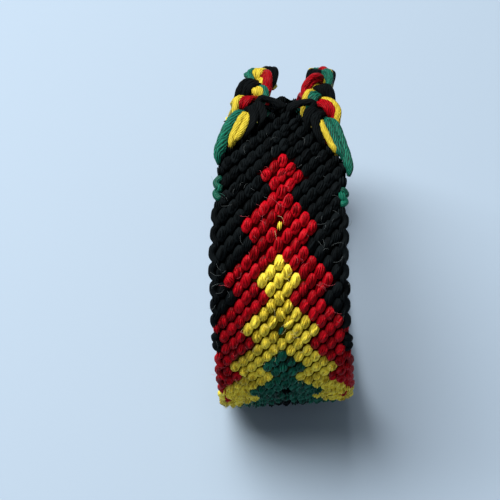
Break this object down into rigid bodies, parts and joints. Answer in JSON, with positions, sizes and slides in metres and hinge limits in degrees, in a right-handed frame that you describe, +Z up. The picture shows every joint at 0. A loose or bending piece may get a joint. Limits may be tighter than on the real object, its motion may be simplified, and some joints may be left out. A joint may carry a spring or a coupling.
{
  "type": "wish bracelet",
  "caption": "Flat band of knotted thread with a stepped arrow pattern, bent into a loop and closed by two three-strand plaits.",
  "frame": {"origin": "middle of the wrist hollow", "axes": "+X along the wrist, towards the right edge of the band as the pattern's arrows point up and back; +Z up; +Y from the side with the pattern's arrow tips towards the back of the loop"},
  "size_m": [0.0217, 0.0522, 0.0451],
  "materials": {
    "black_thread": "soft matte embroidery cotton",
    "red_thread": "soft embroidery cotton with a slight sheen",
    "yellow_thread": "soft embroidery cotton with a slight sheen",
    "green_thread": "soft embroidery cotton with a slight sheen"
  },
  "bodies": {
    "root": {"knotted_band": "black_thread", "left_braid_outer": "green_thread", "left_braid_middle": "yellow_thread", "left_braid_inner": "black_thread", "right_braid_outer": "green_thread", "right_braid_middle": "red_thread", "right_braid_inner": "black_thread"}
  },
  "joints": []
}
